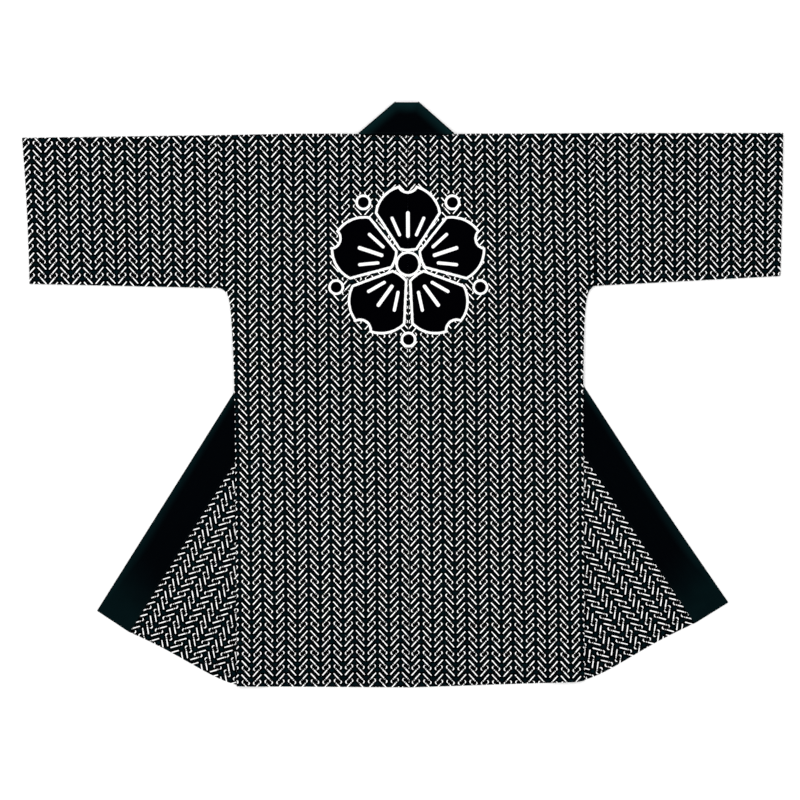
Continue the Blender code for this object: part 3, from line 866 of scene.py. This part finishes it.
# %% The body panels
def body_panel(half):
    """Back and front in one length, with the folded flap of the front beneath"""
    front, back = FIELDS[half.name]
    name = "body_" + half.name
    depths = row_depths(half)
    length = len(depths) - 1
    side_hem = depths[-1]
    corner = apex(half)
    fold = unit(corner, (half.crease_hem, side_hem))
    outward = (-fold[1], fold[0])
    band = unit(half.crease_seam, half.end_seam)
    flap_end = (half.end_seam[0] - band[1] * SEAM, half.end_seam[1] + band[0] * SEAM)

    def plan(i, row):
        """Where column i lies in a row of the back, and of the front in its outer columns"""
        v = depths[row]
        edge, side = front_edge(half, v), side_edge(half, v)
        if i >= INNER_COLUMNS:
            u = edge + (side - edge) * (i - INNER_COLUMNS) / OUTER_COLUMNS
        else:
            away = 1 - i / INNER_COLUMNS
            width, least = edge - SEAM / 2, half.neck
            u = edge - least * away - (width - least) * away ** 3
        v += hem_shape(half, u, v)
        v += shoulder_drop(half, u) * max(1 - v / half.underarm, 0)
        if row == 0:
            v += SEAM / 2
            if i >= INNER_COLUMNS:
                v += (height(back, u, 0) - height(front, u, 0)) / 2 + CLOTH / 2
        return u, v

    def flap(i, row):
        """Where column i lies in the flap, from the crease out to the collar's seam"""
        down = (depths[row] - corner[1]) / (side_hem - corner[1])
        out = (FLAP_COLUMNS - i) / FLAP_COLUMNS
        u, v = mix(plan(INNER_COLUMNS, row), mix(corner, flap_end, down), out)
        v += flap_round(half, out) * down ** ROUND_LATE
        return u, v, FLOOR_Z + hem_lift(length - row)

    def place(i, j):
        if j <= length:
            point = plan(i, length - j)
            return on_wave(half, *point, height(back, *point) + hem_lift(j))
        if j < length + FOLD_STEPS:
            point = plan(i, 0)
            low, high = (height(field, *point) + wave(half, *point) for field in (front, back))
            return world(half, *turn(point, (0, -1), low, high, length + FOLD_STEPS - j))
        row = j - length - FOLD_STEPS
        if i < FLAP_COLUMNS:
            return world(half, *flap(i, row))
        point = plan(max(i, INNER_COLUMNS), row)
        high = height(front, *point) + wave(half, *point) + hem_lift(length - row)
        if i >= INNER_COLUMNS:
            return world(half, *point, high)
        return world(half, *turn(point, outward, FLOOR_Z, high, i - FLAP_COLUMNS))

    def spots(i, j):
        """Cloth, crest and seam coordinates of a point of the grid"""
        if j <= length:
            u, v = plan(i, length - j)
            return (cloth_spot(half, name, u, v), (half.sign * u, v - CREST_DEPTH),
                    (u, from_seams(half, u, v)))
        row = max(j - length - FOLD_STEPS, 0)
        u, v = plan(max(i, INNER_COLUMNS), row)
        if i < FLAP_COLUMNS:
            spot = flap_spot(half, name, *flap(i, row)[:2])
        elif i < INNER_COLUMNS:
            step = (i - FLAP_COLUMNS) / FOLD_STEPS
            spot = mix(flap_spot(half, name, u, v), front_spot(half, name, u, v), step)
        else:
            spot = front_spot(half, name, u, v)
        return spot, (u, v + AWAY), (AWAY, -from_armhole(half, u, v))

    def keep(i, j):
        return j < length or i >= INNER_COLUMNS or j >= length + FOLD_STEPS + TO_CREASE.rows

    rows = 2 * length + FOLD_STEPS
    item = surface(name, INNER_COLUMNS + OUTER_COLUMNS, rows, place, spots, keep,
                   up=lambda face: face.calc_center_median().z)
    finish_cloth(item)
    return item


bodies = [body_panel(half) for half in HALVES]

# %% [markdown]
# ## The sleeves
#
# A sleeve is one length folded along its top edge and sewn along the bottom, so laid flat it is
# a closed tube with two folds. It is made as a ring of rows, upper layer, lower fold, lower
# layer and upper fold, and left open at both ends. The print runs round the arm.

# %% The sleeves
SLEEVE_COLUMNS = 36
SLEEVE_ROWS = 26


def on_sleeve(half, along, down, gap=0.0, inset=0.0):
    """A point of a sleeve, along from the body to the cuff and down from its top edge; the cuff
    bows a little. A gap is left beside the seam, and an inset for the folds."""
    top = mix((half.armhole + gap, half.shoulder_drop + gap), (half.cuff, half.cuff_drop + gap), along)
    low = mix((half.armhole_low + gap, half.underarm), (half.cuff_low, half.cuff_depth), along)
    depth = low[1] - top[1]
    down = (inset + (depth - 2 * inset) * down) / depth
    u, v = mix(top, low, down)
    return u + half.cuff_bow * 4 * down * (1 - down) * along, v


def sleeve(half):
    """A flattened tube: folded along its top edge, sewn along its bottom edge, open at the cuff"""
    name = "sleeve_" + half.name
    turns = 2 * (SLEEVE_ROWS + FOLD_STEPS)
    reach = half.cuff - half.armhole
    hem = [1 - above / reach for above, _ in HEM_ROWS]
    columns = [hem[0] * i / SLEEVE_COLUMNS for i in range(SLEEVE_COLUMNS)] + hem
    last = len(columns) - 1

    def layer(along, down):
        return on_sleeve(half, along, down, SEAM / 2, LAYER / 2 + CLOTH / 2)

    def ring(i, j):
        """The plan's point, which way its fold bulges, and its step on that fold"""
        along = columns[i]
        if j <= SLEEVE_ROWS:
            return layer(along, j / SLEEVE_ROWS), (0, 1), FOLD_STEPS
        j -= SLEEVE_ROWS
        if j < FOLD_STEPS:
            return layer(along, 1), (0, 1), FOLD_STEPS - j
        j -= FOLD_STEPS
        if j <= SLEEVE_ROWS:
            return layer(along, 1 - j / SLEEVE_ROWS), (0, 1), 0
        return layer(along, 0), (0, -1), j - SLEEVE_ROWS

    def place(i, j):
        point, outward, step = ring(i, j % turns)
        low = FLOOR_Z + wave(half, *point)
        high = low + LAYER + hem_lift(last - i)
        return world(half, *turn(point, outward, low, high, step))

    def spots(i, j):
        """The print runs on round the folds, a fold being half a circle long"""
        point, _, step = ring(i, j % turns)
        u, v = point
        if j > SLEEVE_ROWS:
            bottom = layer(columns[i], 1)[1]
            turned = FOLD_STEPS - step if j < turns - FOLD_STEPS else FOLD_STEPS + step
            v = bottom + pi * LAYER / 2 * turned / FOLD_STEPS + (bottom - v)
        return cloth_spot(half, name, u, v), (u, v + AWAY), (AWAY, from_armhole(half, *point))

    item = surface(name, last, turns, place, spots)
    finish_cloth(item)
    return item


sleeves = [sleeve(half) for half in HALVES]

# %% [markdown]
# ## Dyed cotton for the collar
#
# The collar is a plain black cotton with no print. It is made of the same thread, but dyed and
# pressed smooth, so it looks deeper than the printed cloth. A faint green-blue sheen is painted
# where it turns at the free edge, as a painted highlight. The threads run along the band.

# %% Dyed cotton
COLLAR_SLUB = 0.03        # slubs to a millimetre along the band
SHEEN_DEPTH = 0.022        # metres from the free edge over which the painted sheen fades
FRONT_SHEEN = 0.45         # how much of the painted sheen the fronts show; the neck shows all
FRONT_END, NECK_START = 0.65, 0.90    # metres from the band's ends, where that changes
END_SHEEN, END_SHARE = 0.130, 0.38    # metres from the band's ends, and how much painted sheen shows there
RIM_START, RIM = 0.0003, 0.0016    # the edge itself turns away: the painted sheen stops short of it, and it stays black as painted shade
CLOUD_SIZE = 0.02         # soft clouds to a millimetre, which make the painted sheen uneven
CLOUDS, CLOUD_LEAST = 0.8, 0.6    # how much the clouds change it, and what they leave at least
SLUB_SHARE, WEAVE_SHARE = 0.10, 0.07    # how much of the sheen colour shows on a slub, and on a thread


def dyed_cotton(name, colour, sheen):
    """Plain black cotton, with a painted green-blue sheen towards the band's free edge"""
    material, tree = new_material(name)
    cloth, weave, slub = woven(tree, COLLAR_SLUB)
    clouds = add_node(tree, NOISE, FLAT, {"Vector": cloth, "Scale": CLOUD_SIZE, "Detail": 2})["Fac"]
    clouds = add_node(tree, MATH, "MULTIPLY_ADD", (clouds, CLOUDS, CLOUD_LEAST))[0]
    edges = add_node(tree, MAP, {"uv_map": "seams"})[0]
    free, end, _ = add_node(tree, SPLIT, None, (edges,))
    # Painted sheen: a green-blue highlight near the free edge and the band's ends, uneven in clouds,
    # stopping short of the black rim of painted shade
    sheen_near_free = add_node(tree, RANGE, SOFT, (free, SHEEN_DEPTH, 0))[0]
    at_neck = add_node(tree, RANGE, SOFT, (end, FRONT_END, NECK_START, FRONT_SHEEN))[0]
    sheen_near_end = add_node(tree, RANGE, SOFT, (end, END_SHEEN, 0, 0, END_SHARE))[0]
    rim = add_node(tree, RANGE, SOFT, (free, RIM_START, RIM))[0]
    sheen_shown = add_node(tree, MATH, "MULTIPLY", (sheen_near_free, at_neck))[0]
    for operation, other in (("MAXIMUM", sheen_near_end), ("MULTIPLY", rim), ("MULTIPLY", clouds)):
        sheen_shown = add_node(tree, MATH, operation, (sheen_shown, other))[0]
    for pattern, share in ((slub, SLUB_SHARE), (weave, WEAVE_SHARE)):
        sheen_shown = add_node(tree, MATH, "MULTIPLY_ADD", (pattern, share, sheen_shown))[0]
    highlight_tint = add_node(tree, MIX, RGB, {0: sheen_shown, 6: linear(colour), 7: linear(sheen)})[2]
    relief = add_node(tree, MATH, "MULTIPLY_ADD", (weave, WEAVE_RELIEF, slub))[0]
    fibre_shader(tree, highlight_tint, relief, roughness=0.85)
    return material


# The second colour is the painted green-blue sheen of the free edge
COLLAR_CLOTH = dyed_cotton("dyed_cotton_black", "#000002", "#061c1e")
print(COLLAR_CLOTH.name, "takes", len(COLLAR_CLOTH.node_tree.nodes), "nodes")

# %% [markdown]
# ## The collar
#
# The collar is one long band, doubled, sewn round the back of the neck and down both fronts.
# Laid out like this it is folded four times: at each crease of the fronts and at each corner of
# the neck. The ribbon's middle is laid first. One Solidify spreads it into two layers joined at
# the edges, Bevel rounds those edges into folds, and a second Solidify gives the cloth its wall.

# %% Rows of the collar
COLLAR_RISE = 0.0508      # how far the collar reaches above the shoulder line
BAND_COLUMNS, BAND_FRONT_ROWS, BAND_SIDE_ROWS, BAND_NECK_ROWS = 10, 60, 16, 14
BAND_WALL, BAND_TURN = 0.00075, 0.00042    # its cloth, and how far its folded edges are rounded
FOLD_FAINTER = 0.003      # the painted sheen is fainter along the neck's folds, as if this much further in


def band_rows(half):
    """Rows of the collar from its lower end up to the neck: free edge, seam and height"""
    top_free = (half.collar_top, -COLLAR_RISE)
    top_seam = (half.neck, shoulder_drop(half, half.neck) - SEAM / 2)
    fold = unit(half.crease_free, half.crease_seam)
    neck = unit(top_free, top_seam)
    rows = []

    def fold_over(line, outward, low_z):
        """Rows round a fold along a line, from one layer up to the next"""
        for i in range(FOLD_STEPS + 1):
            ends = [turn(p, outward, low_z, low_z + BAND_STEP, i) for p in line]
            rows.append((ends[0][:2], ends[1][:2], ends[0][2]))

    for i in range(BAND_FRONT_ROWS):
        t = i / BAND_FRONT_ROWS
        free = mix(half.end_free, half.crease_free, t)
        seam = mix(half.end_seam, half.crease_seam, t)
        rows.append((mix(free, seam, half.collar_pinch * sin(2 * pi * t)), seam, BAND_LOW_Z))
    fold_over((half.crease_free, half.crease_seam), (-fold[1], fold[0]), BAND_LOW_Z)
    for i in range(1, BAND_SIDE_ROWS):
        t = i / BAND_SIDE_ROWS
        rows.append((mix(half.crease_free, top_free, t), mix(half.crease_seam, top_seam, t),
                     BAND_MID_Z))
    fold_over((top_free, top_seam), (neck[1], -neck[0]), BAND_MID_Z)
    return [[world(half, *mix(free, seam, k / BAND_COLUMNS), z) for k in range(BAND_COLUMNS + 1)]
            for free, seam, z in rows]


def neck_point(a, b, t, k):
    """A point of the strip behind the neck, whose seam dips with the shoulder line"""
    x, y, z = mix(a, b, t)
    right, left = (shoulder_drop(half, half.neck) for half in HALVES)
    dip = shoulder_drop(RIGHT, abs(x - CENTRE_X)) - right - (left - right) * t
    return x, y - dip * k / BAND_COLUMNS, z


def from_fold(point, row):
    """How far a point is from the fold that runs along a row of the collar, seen from above"""
    along = unit(row[0], row[-1])
    return abs((point[0] - row[0][0]) * along[1] - (point[1] - row[0][1]) * along[0])


print("the band has", len(band_rows(RIGHT)), "rows up to the neck")

# %% The collar in one piece
def make_collar():
    """One long doubled band: up one front, round the back of the neck and down the other front"""
    first, last = band_rows(RIGHT), band_rows(LEFT)[::-1]
    across = [[neck_point(a, b, i / BAND_NECK_ROWS, k)
               for k, (a, b) in enumerate(zip(first[-1], last[0]))]
              for i in range(1, BAND_NECK_ROWS)]
    rows = first + across + last
    behind_neck = range(len(first) - 1, len(first) + BAND_NECK_ROWS)
    middles = np.array([row[BAND_COLUMNS // 2] for row in rows])
    run = np.concatenate([[0], np.cumsum(np.linalg.norm(np.diff(middles, axis=0), axis=1))])
    widths = [float(np.linalg.norm(np.subtract(row[0], row[-1]))) for row in rows]

    def spots(i, j):
        """Across and along the band; and how far from its free edge and from its nearer end"""
        free = widths[j] * i / BAND_COLUMNS
        seam = widths[j] - free
        if j in behind_neck:
            free = min(free, *(from_fold(rows[j][i], fold) + FOLD_FAINTER
                               for fold in (first[-1], last[0])))
        return (seam, run[j]), (AWAY, run[j] + AWAY), (free, min(run[j], run[-1] - run[j]))

    item = surface("collar", BAND_COLUMNS, len(rows) - 1, lambda i, j: rows[j][i], spots)
    add_modifier(item, "Two layers", "SOLIDIFY", thickness=BAND - BAND_WALL, offset=0)
    add_modifier(item, "Folded edges", "BEVEL", width=BAND_TURN, segments=3,
                 limit_method="ANGLE", angle_limit=CORNER_ANGLE)
    add_modifier(item, "Wall", "SOLIDIFY", thickness=BAND_WALL, offset=0)
    item.data.materials.append(COLLAR_CLOTH)
    apply_modifiers(item)
    print("the band is", round(float(run[-1]), 3), "m long and", round(max(widths), 4), "m wide")
    return item


collar = make_collar()

# %% [markdown]
# ## Sewing thread
#
# The hems, the cuffs and the collar's edge are held by straight machine stitching in black
# thread, about seven stitches to the inch. A bump texture could hint at it, but real stitches
# stand up from the cloth when it is seen from close by. One stitch is modelled, a short grain of
# thread that dives into the cloth at both ends, and copied along every line. The thread is two
# plies of cotton twisted together, which shows as slanting lines across each stitch.

# %% Thread and one stitch
STITCH_PITCH = 0.0035
STITCH_HALF = (0.00135, 0.00030, 0.00022)    # half its length, width and height
STITCH_RISE = 0.00010     # how high a stitch's middle stands over the cloth
PLY, PLY_SLANT = 0.00045, 0.707    # from ply to ply, and the sine and cosine of their slant
BAND_STITCH = 0.0022      # how far the collar's stitches lie inside its seam


def twisted_thread(name, colour, glint):
    """Spun cotton thread: matt, with the slanting lines of its plies"""
    material, tree = new_material(name)
    place = add_node(tree, "ShaderNodeTexCoord")["Object"]
    slant = 2 * pi / PLY * PLY_SLANT
    plies = add_node(tree, VECTOR, "DOT_PRODUCT", (place, (slant, slant, 0)))["Value"]
    plies = add_node(tree, MATH, "SINE", (plies,))[0]
    plies = add_node(tree, MATH, "MULTIPLY_ADD", (plies, 0.5, 0.5))[0]
    # The lighter lines are a painted glint on the crown of each ply
    highlight_tint = add_node(tree, MIX, RGB, {0: plies, 6: linear(colour), 7: linear(glint)})[2]
    fibre_shader(tree, highlight_tint, plies, roughness=0.7, specular=0.05, strength=0.5, depth=0.00008)
    return material


def make_stitch():
    """A grain of thread with pointed ends, lying along X"""
    bpy.ops.object.select_all(action="DESELECT")
    bpy.ops.mesh.primitive_uv_sphere_add(segments=6, ring_count=5, radius=1)
    item = bpy.context.object
    item.rotation_euler = (0, pi / 2, 0)
    bpy.ops.object.transform_apply(rotation=True)
    item.scale = STITCH_HALF
    bpy.ops.object.transform_apply(scale=True)
    bpy.ops.object.shade_smooth()
    item.data.materials.append(twisted_thread("twisted_cotton_thread", "#030608", "#10181b"))
    return item


stitch = make_stitch()
print("one stitch has", len(stitch.data.polygons), "faces")

# %% Lines of stitches on the printed cloth
EDGE_GAP = 0.002          # from a seam or an edge to the first stitch


def along_line(start, end, offset=0.0):
    """Points of the plan from start to end, a stitch apart, moved sideways by offset"""
    steps = round(hypot(end[0] - start[0], end[1] - start[1]) / STITCH_PITCH)
    aside = unit(start, end)
    return [(p[0] - aside[1] * offset, p[1] + aside[0] * offset)
            for p in (mix(start, end, i / steps) for i in range(steps + 1))]


def hem_line(half):
    """Across the back above its hem, from the centre seam to the side"""
    back = FIELDS[half.name][1]
    v = HEM - half.hem_rise - HEM_TURN
    points = [(u, v + hem_shape(half, u, v))
              for u, _ in along_line((EDGE_GAP, 0), (side_edge(half, v) - EDGE_GAP, 0))]
    return [on_wave(half, *point, height(back, *point) + CLOTH / 2) for point in points]


def flap_line(half):
    """Along the slanting lower edge of the flap, from the crease to the collar's seam"""
    v = HEM - half.hem_rise
    start = (half.crease_hem, v + hem_shape(half, half.crease_hem, v))
    points = along_line(start, half.end_seam, -HEM_TURN)
    return [world(half, u, v + flap_round(half, i / (len(points) - 1)), FLOOR_Z + CLOTH / 2)
            for i, (u, v) in enumerate(points)]


def cuff_line(half):
    """Down the upper layer of the sleeve, a little in from the cuff"""
    along = 1 - HEM_TURN / (half.cuff - half.armhole)
    steps = round((on_sleeve(half, along, 1)[1] - on_sleeve(half, along, 0)[1]) / STITCH_PITCH)
    return [on_wave(half, *on_sleeve(half, along, i / steps), FLOOR_Z + LAYER + CLOTH / 2)
            for i in range(1, steps)]


print("a cuff has", len(cuff_line(RIGHT)) - 1, "stitches")

# %% Lines of stitches on the collar
BAND_SEWN = 0.6           # how far up the crease these stitches show


def band_line(half):
    """Up the lower part of the collar, just inside its seam"""
    aside = unit(half.end_seam, half.end_free)
    start, end = ([p[axis] + aside[axis] * BAND_STITCH for axis in (0, 1)]
                  for p in (half.end_seam, half.crease_seam))
    return [world(half, u, v, BAND_LOW_Z + BAND / 2)
            for u, v in along_line(start, mix(start, end, BAND_SEWN))]


def neck_line():
    """Across the strip behind the neck, just above its seam"""
    return [world(RIGHT, x, shoulder_drop(RIGHT, abs(x)) - BAND_STITCH, BAND_TOP_Z + BAND / 2)
            for x, _ in along_line((-LEFT.neck, 0), (RIGHT.neck, 0))[1:-1]]


print("the neck has", len(neck_line()) - 1, "stitches")

# %% Sewing
def sew(name, lines):
    """Copies of the stitch along some lines, joined into one piece"""
    bpy.ops.object.select_all(action="DESELECT")
    for line in lines:
        for start, end in zip(line, line[1:]):
            a, b = Vector(start), Vector(end)
            item = stitch.copy()
            item.data = stitch.data.copy()
            item.location = (a + b) / 2 + Vector((0, 0, STITCH_RISE))
            item.rotation_euler = (b - a).to_track_quat("X", "Z").to_euler()
            bpy.context.collection.objects.link(item)
            item.select_set(True)
    bpy.context.view_layer.objects.active = item
    bpy.ops.object.join()
    bpy.ops.object.transform_apply(location=True, rotation=True, scale=True)
    item.name = item.data.name = name
    print(name, len(item.data.polygons), "faces")
    return item


body_threads = [sew("thread_body_" + half.name, [hem_line(half), flap_line(half)]) for half in HALVES]
cuff_threads = [sew("thread_sleeve_" + half.name, [cuff_line(half)]) for half in HALVES]
collar_thread = sew("thread_collar", [band_line(RIGHT), neck_line(), band_line(LEFT)])
bpy.data.objects.remove(stitch)

# %% [markdown]
# ## Table, light and camera
#
# The coat is shown against white, so the table is a plain pale sheet under an even white sky,
# with one large soft light from the upper left to give the edges a little shape. The camera
# hangs straight above and looks down, with an 85 mm lens from three metres up.

# %% Table
TABLE_SIZE, TABLE_Z = 12, -0.0002


def table_material():
    """Matt white laminate: no gloss, so that it stays even"""
    material = bpy.data.materials.new("matt_white_laminate")
    material.use_nodes = True
    shader = material.node_tree.nodes["Principled BSDF"].inputs
    shader["Base Color"].default_value = linear("#fcfcfc")
    shader["Roughness"].default_value = 1
    shader["Specular IOR Level"].default_value = 0
    return material


bpy.ops.object.select_all(action="DESELECT")
bpy.ops.mesh.primitive_plane_add(size=TABLE_SIZE, location=(0, 0, TABLE_Z))
table = bpy.context.object
table.name = "table"
table.data.materials.append(table_material())
print("table", TABLE_SIZE, "m wide")

# %% Light
SKY_STRENGTH = 1.12
SOFTBOX_AT, SOFTBOX_TILT = (-1.8, 1.6, 2.6), (-0.53, -0.53, 0)
SOFTBOX_SIZE, SOFTBOX_WATTS = 2.0, 20

sky = bpy.data.worlds.new("studio")
sky.use_nodes = True
background = sky.node_tree.nodes["Background"].inputs
background["Color"].default_value = (1, 1, 1, 1)
background["Strength"].default_value = SKY_STRENGTH
bpy.context.scene.world = sky
bpy.ops.object.light_add(type="AREA", location=SOFTBOX_AT)
softbox = bpy.context.object
softbox.name = "softbox"
softbox.data.size = SOFTBOX_SIZE
softbox.data.energy = SOFTBOX_WATTS
softbox.rotation_euler = SOFTBOX_TILT
bpy.context.scene.view_settings.view_transform = "Standard"
print("softbox", SOFTBOX_WATTS, "W under a sky of strength", SKY_STRENGTH)

# %% Camera
VIEW_WIDTH = 1.320        # metres across the picture, at the coat
LENS, SENSOR = 85, 36
CAMERA_AT = (-0.00386, -0.00994)
COAT_TOP = 0.003
distance = VIEW_WIDTH * LENS / SENSOR
bpy.ops.object.camera_add(location=(*CAMERA_AT, distance + COAT_TOP), rotation=(0, 0, 0))
camera = bpy.context.object
camera.data.lens = LENS
camera.data.sensor_width = SENSOR
bpy.context.scene.camera = camera
print("camera", round(distance, 3), "m above the coat")

# %% [markdown]
# ## Tying the pieces to the frame
#
# Each sheet rides on the coat's one body, stands for its CAD node, takes its finish from a slot
# of the record, and says how large it was cut.

for half, body, arm, hem, cuff in zip(HALVES, bodies, sleeves, body_threads, cuff_threads):
    for piece, node in ((body, "body_"), (arm, "sleeve_")):
        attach(piece, "root")
        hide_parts(node + half.name)
    for thread in (hem, cuff):
        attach(thread, "root")
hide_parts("collar")
for piece in (collar, collar_thread):
    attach(piece, "root")
